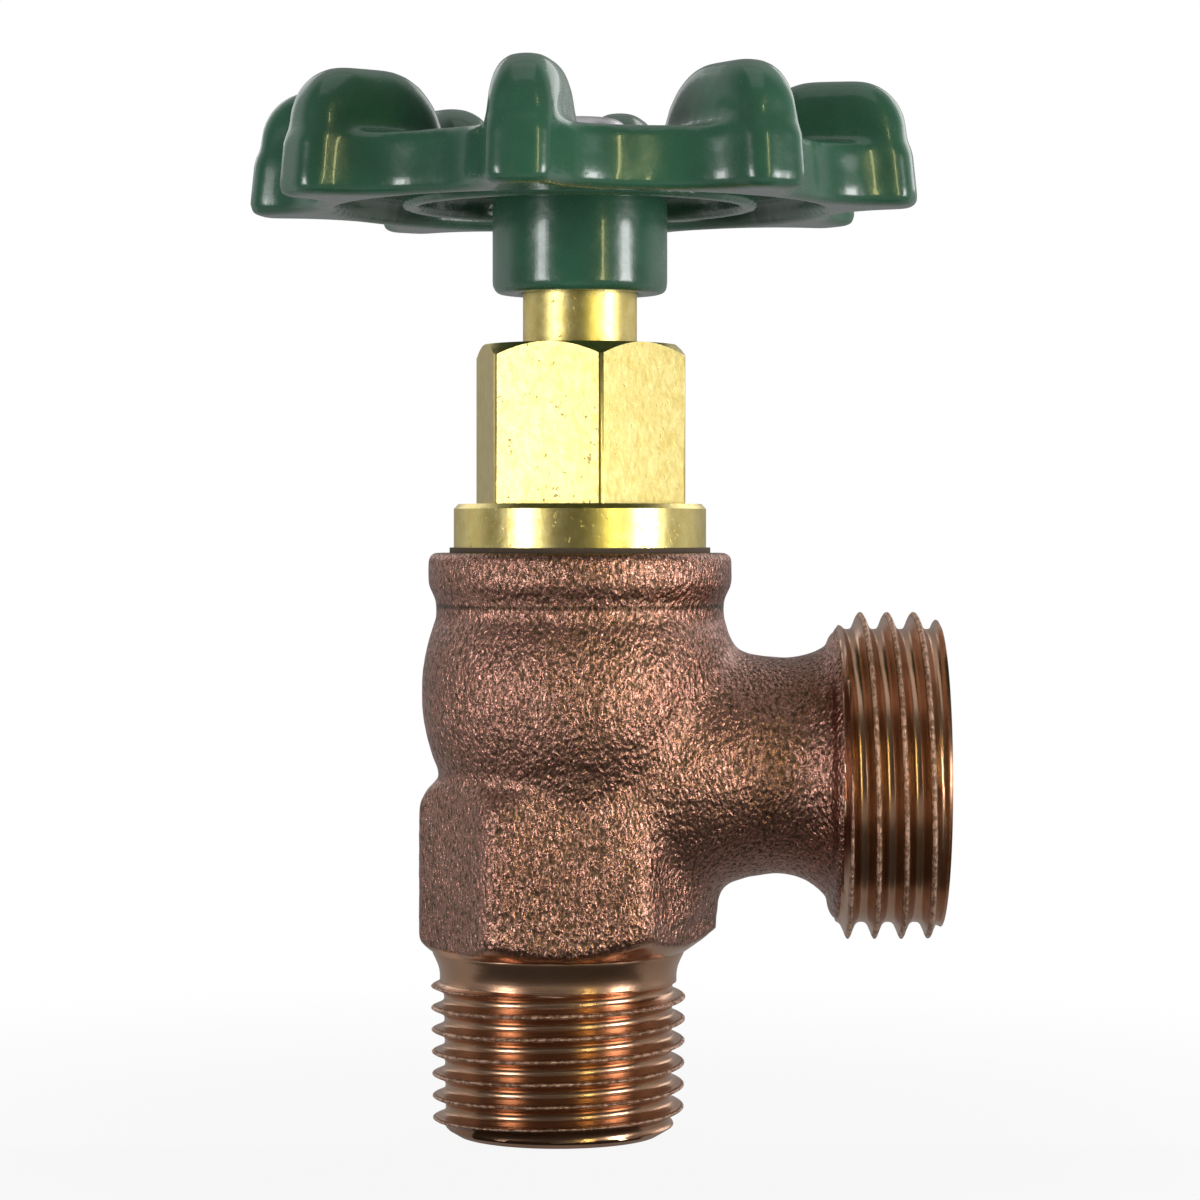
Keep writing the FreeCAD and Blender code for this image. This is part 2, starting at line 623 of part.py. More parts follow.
# Handwheel, its lock washer and its screw
def finger_profile(inset):
    """Side view of a finger, drawn in by an inset towards its flat sides."""
    inner_share, outer_share = FINGER_END_SHARES
    end = lobe_reach - finger_ledge
    top = finger_top - inset
    reach = end - inset * outer_share
    start = end - finger_length + inset * inner_share
    foot = rim_top - finger_sink
    root = rim_bottom + finger_root
    inside = rim_radius - rim_wall / 2
    return [(start, foot), (start, rim_top - finger_heel),
            (start + finger_inner_round, top, -finger_inner_round * ARC_SLACK),
            (reach - finger_outer_round, top),
            (reach - finger_draft, top - finger_outer_round, -finger_outer_round * ARC_SLACK),
            (reach, root), (inside, root), (inside, foot)]


def lobe_outline():
    """Plan of a lobe of the rim: a rounded end whose flanks sweep round into the rim.

    Each sweep is the arc that touches the end's rounding and, LOBE_SPREAD from the lobe's
    middle, the rim.
    """
    along, across = math.cos(LOBE_SPREAD), math.sin(LOBE_SPREAD)
    end_x, end_y = lobe_reach - lobe_round, lobe_flat / 2
    lean = end_x * along + end_y * across
    spare = (lobe_round * lobe_round - rim_radius * rim_radius + rim_radius * lean * 2
             - end_x * end_x - end_y * end_y)
    sweep = spare / ((rim_radius - lean - lobe_round) * 2)
    share = lobe_round / (sweep + lobe_round)
    bend_x = end_x + ((rim_radius + sweep) * along - end_x) * share
    bend_y = end_y + ((rim_radius + sweep) * across - end_y) * share
    foot_x, foot_y = rim_radius * along, rim_radius * across
    middle = rim_radius - rim_wall / 2
    root_x, root_y = middle * along, middle * across
    return [(root_x, root_y, middle), (foot_x, foot_y), (bend_x, bend_y, sweep),
            (lobe_reach, end_y, -lobe_round), (lobe_reach, -end_y),
            (bend_x, -bend_y, -lobe_round), (foot_x, -foot_y, sweep), (root_x, -root_y)]


def make_handwheel():
    body = new_body("handwheel", axis_x=stem_offset, turn=finger_turn)
    rib_inside = rib_radius - rib_wall
    wall_inside = rim_radius - rim_wall
    turned(body, "hub_web_and_rim", "Revolution", [
        (0, hub_bottom), (hub_radius - hub_edge, hub_bottom),
        (hub_radius, hub_bottom + hub_edge), (hub_radius, web_underside),
        (rib_inside, web_underside), (rib_inside, rim_bottom + rib_rise),
        (rib_radius, rim_bottom + rib_rise), (rib_radius, web_underside),
        (wall_inside, web_underside), (wall_inside, rim_bottom), (rim_radius, rim_bottom),
        (rim_radius, rim_top), (wall_inside, rim_top), (rib_radius, rim_top - dish_drop),
        (hub_radius, hub_top), (0, hub_top)])
    slices = []
    for index, (share, inset) in enumerate(FINGER_SLICES):
        sketch = new_sketch(body, "XZ_Plane", f"finger_slice_{index}",
                            lift=finger_width / 2 * share)
        outline(sketch, finger_profile(finger_crown * inset))
        slices.append(sketch)
    finger = body.newObject("PartDesign::AdditiveLoft", "finger")
    finger.Profile = slices[0]
    finger.Sections = slices[1:]
    lobe = raised(body, "lobe", "Pad", lobe_outline(), rim_bottom, rim_top - rim_bottom)
    fingers = body.newObject("PartDesign::PolarPattern", "lobes_and_fingers")
    fingers.Originals = [lobe, finger]
    fingers.Axis = (origin_part(body, "Z_Axis"), [""])
    fingers.Angle = 360
    fingers.setExpression("Occurrences", finger_count.text)
    body.Tip = fingers
    round_rim(body, fingers)
    socket_top = square_top + fitting_gap
    raised(body, "square_socket", "Pocket", square(square_across + fitting_gap * 2),
           square_bottom, socket_top - square_bottom)
    journal_socket = journal_radius + fitting_gap
    turned(body, "journal_socket", "Groove", box(
        0, journal_socket, hub_bottom, square_bottom + fitting_gap))
    turned(body, "screw_clearance", "Groove", box(
        0, wheel_screw_radius + fitting_gap, hub_bottom, hub_top))
    return body


def round_rim(body, rim):
    """Round the lower edge of the rim and its lobes."""
    doc.recompute()
    low = as_value(rim_bottom)
    inside = as_value(rim_radius - rim_wall / 2)
    edges = []
    for index, edge in enumerate(rim.Shape.Edges):
        ends = [vertex.Point for vertex in edge.Vertexes]
        if all(abs(end.z - low) < 1e-4 and math.hypot(end.x, end.y) > inside for end in ends):
            edges.append(f"Edge{index + 1}")
    rounding = body.newObject("PartDesign::Fillet", "rim_foot_round")
    rounding.Base = (rim, edges)
    rounding.setExpression("Radius", rim_edge.text)


def make_lock_washer():
    body = new_body("lock_washer", axis_x=stem_offset)
    inside = wheel_screw_radius + fitting_gap
    turned(body, "ring", "Revolution", box(inside, lock_washer_radius, hub_top, washer_seat_top))
    half = lock_washer_slit / 2
    raised(body, "slit", "Pocket", box(0, lock_washer_radius * CLEAR, -half, half),
           hub_top, lock_washer_thickness)
    return body


def make_wheel_screw():
    body = new_body("handwheel_screw", axis_x=stem_offset)
    head_top = washer_seat_top + wheel_screw_head_height
    tip = washer_seat_top - wheel_screw_length
    turned(body, "screw", "Revolution", [
        (0, tip), (wheel_screw_radius, tip), (wheel_screw_radius, washer_seat_top),
        (wheel_screw_head_radius, washer_seat_top),
        (wheel_screw_head_radius, head_top - wheel_screw_crown),
        (wheel_screw_head_radius - wheel_screw_crown, head_top, wheel_screw_crown),
        (0, head_top)])
    half = wheel_screw_slot / 2
    raised(body, "slot", "Pocket", box(
        -wheel_screw_head_radius, wheel_screw_head_radius, -half, half),
        head_top - wheel_screw_slot_depth, wheel_screw_slot_depth)
    return body


pieces = [make_valve_body(), make_bonnet(), make_gasket(), make_stem(),
          make_o_ring("lower_stem_o_ring", lower_ring_height),
          make_o_ring("upper_stem_o_ring", upper_ring_height),
          make_disc_holder(), make_retaining_ring(), make_seat_washer(),
          make_washer_retainer(), make_seat_screw(), make_handwheel(), make_lock_washer(),
          make_wheel_screw()]
doc.recompute()

faults = [item.Label for item in doc.Objects if {"Invalid", "Error"} & set(item.State)]
faults += [piece.Label for piece in pieces if piece.Shape.isNull() or not piece.Shape.isValid()]
if faults:
    raise RuntimeError(f"these did not build: {faults}")

os.makedirs("parts", exist_ok=True)
for piece in pieces:
    shape = piece.Shape
    print(piece.Label, len(shape.Solids), "solid,", round(shape.Volume, 1), "mm3")
    shape.exportStep(f"parts/{piece.Label}.step")
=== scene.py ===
"""Looks of the boiler drain valve: cast bronze, turned brass and a green enamelled wheel.

Pieces are modelled in millimetres about the part's own origin and turned into metres when they
are finished. +Z runs up the stem, +X out of the hose outlet, and the photographed side is -Y.
"""
import json
import math

import bmesh
import bpy
from mathutils import Matrix, Vector, noise


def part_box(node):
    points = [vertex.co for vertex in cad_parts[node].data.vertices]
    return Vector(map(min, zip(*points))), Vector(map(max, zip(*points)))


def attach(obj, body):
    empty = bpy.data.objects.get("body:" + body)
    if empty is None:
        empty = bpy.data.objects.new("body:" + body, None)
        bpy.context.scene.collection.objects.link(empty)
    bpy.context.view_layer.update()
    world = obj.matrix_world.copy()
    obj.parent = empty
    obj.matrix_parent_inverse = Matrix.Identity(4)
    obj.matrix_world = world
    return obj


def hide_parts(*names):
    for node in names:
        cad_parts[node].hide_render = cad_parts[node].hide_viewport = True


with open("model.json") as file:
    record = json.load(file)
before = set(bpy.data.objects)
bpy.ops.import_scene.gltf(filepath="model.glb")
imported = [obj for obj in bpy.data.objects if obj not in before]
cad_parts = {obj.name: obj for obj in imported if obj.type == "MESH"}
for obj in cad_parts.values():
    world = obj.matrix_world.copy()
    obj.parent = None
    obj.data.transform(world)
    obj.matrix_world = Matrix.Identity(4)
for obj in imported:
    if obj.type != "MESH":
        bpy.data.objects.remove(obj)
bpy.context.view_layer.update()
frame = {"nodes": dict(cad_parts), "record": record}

MM = 0.001
NODES = frame["nodes"]
MOUNTS = {mount["name"]: mount for mount in frame["record"]["mounts"]}


def node_box(node):
    """A node's lowest and highest corners, in millimetres."""
    low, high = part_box(node)
    return Vector(low) / MM, Vector(high) / MM


# Sizes read from the frame
stem_low, stem_high = node_box("stem")
STEM_X = (stem_low.x + stem_high.x) / 2
OUTLET_REACH = node_box("valve_body")[1].x
BONNET_TOP = node_box("bonnet")[1].z
INLET_CREST = MOUNTS["inlet_pipe_thread"]["dims"]["r_mm"]
HOSE_CREST = MOUNTS["hose_outlet_thread"]["dims"]["r_mm"]
OUTLET_HEIGHT = MOUNTS["hose_outlet_thread"]["pos_m"][2] / MM

# A thread's form: how far along one pitch, and how far from root to crest
THREAD_FORM = ((0, 0), (0.08, 0.01), (0.16, 0.06), (0.24, 0.2), (0.34, 0.55), (0.41, 0.84),
               (0.45, 0.95), (0.48, 1), (0.52, 1), (0.55, 0.95), (0.59, 0.84), (0.66, 0.55),
               (0.76, 0.2), (0.84, 0.06), (0.92, 0.01), (1, 0))
THREAD_STEPS = 144
THREAD_CREASE = 55

# How near vertices merge: in one piece, along a cut and where a thread meets its bore
WELD = 1e-4
CUT_WELD = 1e-5
SEAM_WELD = 1e-3

# Inlet, from its end up: the tapered thread, its neck as (height, radius) and the relief above
INLET_PITCH = 1.8143
INLET_DEPTH = 1.08
INLET_PHASE = -0.27
INLET_TAPER = 1 / 60
INLET_END_RADIUS = 8.35
INLET_CHAMFER = 1.35
INLET_CHAMFER_RADIUS = INLET_CREST + 0.05
INLET_THREAD_TOP = 12.5
INLET_CREST_TOP = INLET_THREAD_TOP - 0.3
INLET_ROOT_TOP = INLET_THREAD_TOP - 0.5
INLET_TORN_TOP = INLET_THREAD_TOP + 0.6
INLET_NECK = ((12.6, 9.8), (13.2, 9.8), (13.6, 9.85), (14.0, 9.96), (14.4, 10.13))
INLET_BORE = 6.6
INLET_BORE_CHAMFER = 0.4
INLET_SLEEVE = 15.5
RELIEF_RADIUS = 10.4

# Hose outlet, from its end inwards: the leads are the thread's start as (depth, radius)
HOSE_PITCH = 2.209
HOSE_DEPTH = 1.4
HOSE_PHASE = -0.545
HOSE_ROOT = HOSE_CREST - HOSE_DEPTH
HOSE_LIP = 12.5
HOSE_ROOT_LEAD = ((0, HOSE_LIP), (0.25, HOSE_LIP - 0.1), (0.6, HOSE_ROOT))
HOSE_CREST_LEAD = ((0, HOSE_LIP), (0.25, 12.95), (0.6, 13.3), (1.2, HOSE_CREST))
HOSE_SLEEVE = 8.6
HOSE_CREST_END = HOSE_SLEEVE - 0.6
HOSE_ROOT_END = HOSE_SLEEVE - 0.1
HOSE_TORN_END = OUTLET_REACH + 1
MOUTH_RADIUS = 8.6
MOUTH_CHAMFER = 0.3
MOUTH_DEPTH = 6.0
OUTLET_BORE = 6.35

# The casting, between the planes where the turned ends begin
CASTING_BOTTOM = 14.95
CASTING_RIGHT = OUTLET_REACH - 8.2
CAST_VOXEL = 0.3
CAST_ROUNDS = 3
WRENCH_ROUNDS = 6
WRENCH_TOP = 30
ROOT_ROUNDS = 60
ROOT_RADII = (7.5, 12.5)
ROOT_REACH = (5, 17)
ROOT_FROM_STEM = 10.5
GRAIN_PER_MM = 1.1
GRAIN_DEPTH = 0.035

# The casting's skin: its turned foot and cone stay smooth, and painted shade darkens a line along
# the crevice under the collar
CONE_RISE = 0.72
CONE_RADIUS = 14.4
CONE_BLUR = 0.4
CONE_EDGE = (0.1, 0.35)
FOOT_RADIUS = 11.2
FOOT_TOP = 15.4
FOOT_BLUR = 0.3
COLLAR_FOOT = 43.65
COLLAR_SHADE_WIDTH = 0.26
SAND_LEAN = math.radians(24)
SAND_STRETCH = 0.62

# Thread crests are torn from the first distance below their top to the second
TORN_BELOW = (0.42, 0.2)
TORN_BLUR = 0.2

# The bonnet's hexagon: half across flats, the chamfer's steeper fall to the corners, and edges
BONNET_FLAT = 7.975
BONNET_FALL = 0.46
CHAMFER_REACH = 2.0
SAME_PLANE = math.radians(0.3)
UPRIGHT_LENGTH = 8
UPRIGHT_ANGLE = math.radians(25)
UPRIGHT_ROUND = 0.24
UPRIGHT_STEPS = 3
BONNET_CREASE = 15
FLAT_AREA = 20
BRASS_DULLNESS = 0.34
BONNET_DULLNESS = 0.26

# The enamelled wheel, whose rim's walls lean in towards their top
WHEEL_VOXEL = 0.32
WHEEL_ROUNDS = 6
FINGER_ROUNDS = 8
WHEEL_WEB = 14.0
RIM_FADE = 4
WALL_TOP = 80.5
DRAFT_TOP = WALL_TOP + 1
DRAFT_LEVEL = 79.6
WALL_DRAFT = math.tan(math.radians(6))

# Colours as linear red, green and blue, in pairs where a finish varies between two
SKIN = ((0.38, 0.188, 0.144), (0.46, 0.236, 0.178))
# Painted shade: the dark colour put into the grain's pits
SKIN_PIT_SHADE = (0.12, 0.075, 0.045)
# Painted shade along the crevice under the collar
PAINTED_CREVICE_SHADE = (0.06, 0.035, 0.022)
TURNED_BRONZE = (0.55, 0.33, 0.22)
CUT_BRONZE = ((0.48, 0.275, 0.17), (0.57, 0.34, 0.22))
# Torn crests: partly the torn metal's own colour, partly painted glints and painted dark flecks
TORN_BRONZE_AND_GLINTS = ((0.26, 0.15, 0.095), (0.78, 0.52, 0.4))
BRASS = ((0.76, 0.6, 0.19), (0.87, 0.73, 0.3))
BRASS_PITS = (0.4, 0.28, 0.1)
ENAMEL = ((0.031, 0.106, 0.066), (0.035, 0.134, 0.08))
PLATING = ((0.5, 0.5, 0.5), (0.62, 0.62, 0.64))
RUBBER = ((0.012, 0.012, 0.012), (0.03, 0.03, 0.03))
FIBRE = ((0.05, 0.032, 0.022), (0.12, 0.085, 0.06))
FLOOR_GREY = (0.4, 0.4, 0.4, 1)
CARD_GREY = (0.1, 0.1, 0.1, 1)
WHITE = (1, 1, 1)
WINDOW_LIGHT = (1, 0.95, 0.4)

# The colour sockets of a Mix node
MIX_FIRST, MIX_SECOND, MIX_RESULT = 6, 7, 2


# Shader maths
class Value:
    """One output of a graph's nodes. Python's operators on it add Math nodes."""

    def __init__(self, graph, socket):
        self.graph = graph
        self.socket = socket

    def maths(self, operation, first, second, clamp=False):
        return self.graph.node("ShaderNodeMath", {"operation": operation, "use_clamp": clamp},
                               {0: first, 1: second})

    def __add__(self, other):
        return self.maths("ADD", self, other)

    def __sub__(self, other):
        return self.maths("SUBTRACT", self, other)

    def __rsub__(self, other):
        return self.maths("SUBTRACT", other, self)

    def __mul__(self, other):
        return self.maths("MULTIPLY", self, other)

    def __pow__(self, other):
        return self.maths("POWER", self, other)

    __radd__ = __add__

    def clamped(self):
        """The value kept between 0 and 1."""
        return self.maths("ADD", self, 0, clamp=True)

    def between(self, low, high):
        """0 below low and 1 above high, smooth between them."""
        return self.graph.node("ShaderNodeMapRange", {"interpolation_type": "SMOOTHSTEP"},
                               {"Value": self, "From Min": low, "From Max": high})


def hypot(first, second):
    """The length of the diagonal over two values."""
    return (first ** 2 + second ** 2) ** 0.5


class Graph:
    """Adds nodes to the tree of a material or the world."""

    def __init__(self, tree):
        self.tree = tree

    def node(self, kind, settings, inputs, output=0):
        """Add one node: its settings, then its sockets' values or links."""
        node = self.tree.nodes.new(kind)
        for name, value in settings.items():
            setattr(node, name, value)
        for name, value in inputs.items():
            if isinstance(value, Value):
                self.tree.links.new(value.socket, node.inputs[name])
            else:
                node.inputs[name].default_value = value
        return Value(self, node.outputs[output])

    def split(self, vector):
        """A vector's x, y and z."""
        first = self.node("ShaderNodeSeparateXYZ", {}, {0: vector})
        return [Value(self, socket) for socket in first.socket.node.outputs]

    def rays(self, kind):
        """1 for the rays that a Light Path output names and 0 for all others."""
        return self.node("ShaderNodeLightPath", {}, {}, kind)

    def mix(self, share, first, second):
        """A colour between two others."""
        first, second = (end if isinstance(end, Value) else (*end, 1) for end in (first, second))
        return self.node("ShaderNodeMix", {"data_type": "RGBA"},
                         {0: share, MIX_FIRST: first, MIX_SECOND: second}, MIX_RESULT)

    def greys(self, place, table):
        """The grey at a place in a table of (place, grey)."""
        result = self.node("ShaderNodeValToRGB", {}, {0: place})
        stops = result.socket.node.color_ramp.elements
        while len(stops) < len(table):
            stops.new(0.5)
        for stop, (position, grey) in zip(stops, table):
            stop.position = position
            stop.color = (grey, grey, grey, 1)
        return result


class Finish(Graph):
    """A material with its Principled shader, and object coordinates in millimetres."""

    def __init__(self, name, **shader):
        self.material = bpy.data.materials.new(name)
        self.material.use_nodes = True
        super().__init__(self.material.node_tree)
        self.shader = self.tree.nodes["Principled BSDF"]
        for socket, value in shader.items():
            self.shader.inputs[socket.replace("_", " ")].default_value = value
        metres = self.node("ShaderNodeTexCoord", {}, {}, "Object")
        self.place = self.node("ShaderNodeVectorMath", {"operation": "SCALE"},
                               {0: metres, "Scale": 1 / MM})
        self.x, self.y, self.z = self.split(self.place)

    def only(self, along):
        """A place that changes along one direction, for marks that run round an axis."""
        return self.node("ShaderNodeCombineXYZ", {}, {2: along})

    def noise(self, per_mm, detail=2.0, rough=0.5, place=None, warp=0.0):
        """Noise from 0 to 1, with per_mm lumps to the millimetre."""
        return self.node("ShaderNodeTexNoise", {}, {
            "Vector": self.place if place is None else place, "Scale": per_mm,
            "Detail": detail, "Roughness": rough, "Distortion": warp})

    def cells(self, per_mm, place):
        """Distance to the middle of cells, rounded where they meet."""
        return self.node("ShaderNodeTexVoronoi", {"feature": "SMOOTH_F1"}, {
            "Vector": place, "Scale": per_mm, "Smoothness": 1.0})

    def surface(self, colour, roughness, height):
        """The material with a colour, a roughness and relief from a height in millimetres."""
        relief = self.node("ShaderNodeBump", {}, {"Height": height, "Distance": MM})
        looks = {"Base Color": colour, "Roughness": roughness, "Normal": relief}
        for socket, value in looks.items():
            self.tree.links.new(value.socket, self.shader.inputs[socket])
        return self.material


# Finishes
def cast_bronze():
    """Sand-cast red bronze: coarse grain, painted shade in its pits and under the collar, turned
    smooth on the lower cone.
    """
    finish = Finish("cast_bronze", Metallic=1.0)
    radius = hypot(finish.x, finish.y)
    above_cone = finish.z - CASTING_BOTTOM - (radius - RELIEF_RADIUS) * CONE_RISE
    beyond_cone = radius.between(CONE_RADIUS, CONE_RADIUS + CONE_BLUR)
    cast = (above_cone.between(*CONE_EDGE) + beyond_cone).clamped()
    foot = (1 - finish.z.between(FOOT_TOP, FOOT_TOP + FOOT_BLUR)) * (
        1 - radius.between(FOOT_RADIUS, FOOT_RADIUS + FOOT_BLUR))
    cast = cast * (1 - foot)
    stretched = finish.node("ShaderNodeMapping", {}, {
        "Vector": finish.place, "Rotation": (0, SAND_LEAN, 0), "Scale": (1, 1, SAND_STRETCH)})
    pebbles = finish.cells(3.6, stretched)
    sand = finish.noise(3.3, detail=3, rough=0.6, place=stretched, warp=0.3)
    lumps = finish.noise(0.6, detail=2)
    pits = sand.between(0.36, 0.54)
    patch = finish.noise(0.12, detail=3).between(0.3, 0.7)
    # A painted shade line along the crevice under the collar
    below_collar = (finish.z - COLLAR_FOOT) * (1 / COLLAR_SHADE_WIDTH)
    crevice_shade = (1 - below_collar * below_collar).clamped()
    # The pits take a painted shade colour
    skin = finish.mix(pits, SKIN_PIT_SHADE, finish.mix(patch, *SKIN))
    skin = finish.mix(crevice_shade * 0.85, skin, PAINTED_CREVICE_SHADE)
    colour = finish.mix(cast, TURNED_BRONZE, skin)
    roughness = 0.2 + cast * 0.03 + (1 - pits) * cast * 0.2
    height = (sand * 0.17 - pebbles * 0.12 + lumps * 0.1) * cast
    return finish.surface(colour, roughness, height)


def machined_bronze(name, axis, crest, torn_end):
    """Threads cut bright, with tool marks that run round the axis and torn crests with painted
    glints.

    crest is their radius, and past torn_end along the axis nothing is torn.
    """
    finish = Finish(name, Metallic=1.0)
    along, across = finish.z, finish.x
    if axis == "x":
        along, across = finish.x, finish.z - OUTLET_HEIGHT
    torn_from, torn_full = (crest - below for below in TORN_BELOW)
    crests = hypot(across, finish.y).between(torn_from, torn_full) * (
        1 - along.between(torn_end, torn_end + TORN_BLUR))
    marks = finish.noise(9.0, detail=3, place=finish.only(along))
    tears = finish.noise(2.6, detail=4, rough=0.65)
    cloud = finish.noise(0.25, detail=3).between(0.3, 0.7)
    chips = finish.noise(2.2, detail=3, rough=0.6).between(0.44, 0.56)
    # The torn crests' colour is partly the torn metal's own, partly painted glints and dark
    # flecks
    torn_and_glints = finish.mix(chips, *TORN_BRONZE_AND_GLINTS)
    colour = finish.mix(crests * 0.8, finish.mix(cloud, *CUT_BRONZE), torn_and_glints)
    roughness = 0.2 + tears * 0.1 + crests * 0.18
    height = marks * 0.003 + tears * (0.008 + crests * 0.25)
    return finish.surface(colour, roughness, height)


def turned_brass(name, dullness):
    """Yellow brass off the lathe, a little mottled and pitted."""
    finish = Finish(name, Metallic=1.0)
    marks = finish.noise(7.0, detail=3, place=finish.only(finish.z))
    pits = finish.noise(1.7, detail=5, rough=0.7).between(0.6, 0.72)
    cloud = finish.noise(0.8, detail=5, rough=0.7).between(0.3, 0.7)
    mottle = finish.noise(1.6, detail=4, rough=0.65)
    colour = finish.mix(pits * 0.5, finish.mix(cloud, *BRASS), BRASS_PITS)
    roughness = dullness + marks * 0.04 + mottle * 0.06 + pits * 0.2
    height = marks * 0.0005 + mottle * 0.014 - pits * 0.015
    return finish.surface(colour, roughness, height)


def green_enamel():
    """Thick glossy enamel that ran a little over the casting's skin."""
    finish = Finish("green_enamel", Coat_Weight=0.4, Coat_Roughness=0.07, IOR=1.5)
    swell = finish.noise(0.22, detail=2)
    peel = finish.noise(1.3, detail=3, rough=0.6)
    specks = finish.noise(2.4, detail=3).between(0.7, 0.78)
    cloud = finish.noise(0.15, detail=2).between(0.3, 0.7)
    height = swell * 0.16 + peel * 0.012 + specks * 0.02
    return finish.surface(finish.mix(cloud, *ENAMEL), 0.2 + peel * 0.14, height)


def plated_steel():
    """Dull bright plating on the screw and its washer."""
    finish = Finish("plated_steel", Metallic=1.0)
    cloud = finish.noise(0.6, detail=4).between(0.3, 0.7)
    height = finish.noise(4.0, detail=3) * 0.01
    return finish.surface(finish.mix(cloud, *PLATING), 0.28 + cloud * 0.12, height)


def grained(name, colours, per_mm, detail, rough, dullness, depth):
    """A soft matt material with one fine grain in its colour, roughness and relief."""
    finish = Finish(name)
    grain = finish.noise(per_mm, detail=detail, rough=rough)
    return finish.surface(finish.mix(grain, *colours), dullness + grain * 0.2, grain * depth)


# Mesh helpers
def node_copy(node):
    """A merged copy of a CAD node, in millimetres."""
    mesh = bmesh.new()
    mesh.from_mesh(NODES[node].data)
    bmesh.ops.transform(mesh, matrix=Matrix.Scale(1 / MM, 4), verts=mesh.verts)
    bmesh.ops.remove_doubles(mesh, verts=mesh.verts, dist=WELD)
    return mesh


def linked(name, mesh, material=None):
    """An object of the scene made from a mesh, which is freed."""
    data = bpy.data.meshes.new(name)
    mesh.to_mesh(data)
    mesh.free()
    if material is not None:
        data.materials.append(material)
    item = bpy.data.objects.new(name, data)
    bpy.context.collection.objects.link(item)
    return item


def finish_piece(name, mesh, body, material, crease=None):
    """Turn a mesh in millimetres into a smooth piece of the scene that rides on a body.

    Edges that turn by more than crease degrees stay sharp.
    """
    bmesh.ops.transform(mesh, matrix=Matrix.Scale(MM, 4), verts=mesh.verts)
    for face in mesh.faces:
        face.smooth = True
    piece = linked(name, mesh, material)
    if crease is not None:
        piece.data.set_sharp_from_angle(angle=math.radians(crease))
    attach(piece, body)
    return piece


def staged(name, mesh, material):
    """Add a mesh in metres to the studio, which isn't part of the valve."""
    item = linked(name, mesh, material)
    return item


def stepwise(table, place):
    """The value at a place in a table of (place, value), straight between its rows."""
    for (start, low), (end, high) in zip(table, table[1:]):
        if place <= end:
            share = (place - start) / (end - start)
            return low + (high - low) * max(share, 0)
    return table[-1][1]


def threaded_sleeve(pitch, length, crest, depth, phase, envelope, bore):
    """A right-hand threaded tube from 0 to length along Z.

    crest is a function of the height, phase moves the crests up by that part of a pitch, envelope
    is a table of (height, smallest radius) and one of (height, largest radius), and bore the
    inside as (radius, height) from the envelope's start to its end.
    """
    mesh = bmesh.new()
    turns = math.ceil(length / pitch) + 2
    chain = [mesh.verts.new((crest(0), 0, (along - 1 + phase) * pitch))
             for along, _ in THREAD_FORM]
    edges = [mesh.edges.new(pair) for pair in zip(chain, chain[1:])]
    bmesh.ops.spin(mesh, geom=chain + edges, cent=(0, 0, 0), axis=(0, 0, 1),
                   dvec=(0, 0, pitch / THREAD_STEPS), angle=2 * math.pi * turns,
                   steps=THREAD_STEPS * turns, use_merge=False)
    for vert in mesh.verts:
        step = round(math.atan2(vert.co.y, vert.co.x) / (2 * math.pi) * THREAD_STEPS)
        angle = 2 * math.pi * step / THREAD_STEPS
        height = min(max(vert.co.z, 0), length)
        along = (height / pitch - step / THREAD_STEPS - phase) % 1
        radius = crest(height) - depth * (1 - stepwise(THREAD_FORM, along))
        low, high = (stepwise(limit, height) for limit in envelope)
        radius = min(max(radius, low), high)
        vert.co = (radius * math.cos(angle), radius * math.sin(angle), height)
    bmesh.ops.remove_doubles(mesh, verts=mesh.verts, dist=WELD)
    inside = [mesh.verts.new((radius, 0, height)) for radius, height in bore]
    edges = [mesh.edges.new(pair) for pair in zip(inside, inside[1:])]
    bmesh.ops.spin(mesh, geom=inside + edges, cent=(0, 0, 0), axis=(0, 0, 1),
                   angle=2 * math.pi, steps=THREAD_STEPS, use_merge=True)
    bmesh.ops.remove_doubles(mesh, verts=mesh.verts, dist=SEAM_WELD)
    bmesh.ops.recalc_face_normals(mesh, faces=mesh.faces)
    return mesh


def remeshed(mesh, voxel):
    """The same solid as an even skin of quads, with its hollows kept."""
    rough = linked("rough", mesh)
    skin = rough.modifiers.new("skin", "REMESH")
    skin.mode = "VOXEL"
    skin.voxel_size = voxel
    graph = bpy.context.evaluated_depsgraph_get()
    even = bpy.data.meshes.new_from_object(rough.evaluated_get(graph))
    result = bmesh.new()
    result.from_mesh(even)
    bpy.data.objects.remove(rough)
    bpy.data.meshes.remove(even)
    return result


def smoothed(mesh, rounds, wanted=lambda place: True):
    """Even out the vertices whose places are wanted."""
    verts = [vert for vert in mesh.verts if wanted(vert.co)]
    for _ in range(rounds):
        bmesh.ops.smooth_vert(mesh, verts=verts, factor=0.5,
                              use_axis_x=True, use_axis_y=True, use_axis_z=True)


def cut_off(mesh, point, normal):
    """Cut away what lies beyond a plane and close the cut."""
    geometry = list(mesh.verts) + list(mesh.edges) + list(mesh.faces)
    cut = bmesh.ops.bisect_plane(mesh, geom=geometry, plane_co=point, plane_no=normal,
                                 clear_outer=True, dist=CUT_WELD)
    rims = [item for item in cut["geom_cut"] if isinstance(item, bmesh.types.BMEdge)]
    bmesh.ops.holes_fill(mesh, edges=rims)


# The valve's body
def at_neck_root(place):
    """True on the outside, round the neck's root on the globe and hexagon."""
    out = math.hypot(place.y, place.z - OUTLET_HEIGHT)
    from_stem = math.hypot(place.x - STEM_X, place.y)
    return (ROOT_RADII[0] < out < ROOT_RADII[1] and ROOT_REACH[0] < place.x < ROOT_REACH[1]
            and from_stem > ROOT_FROM_STEM)


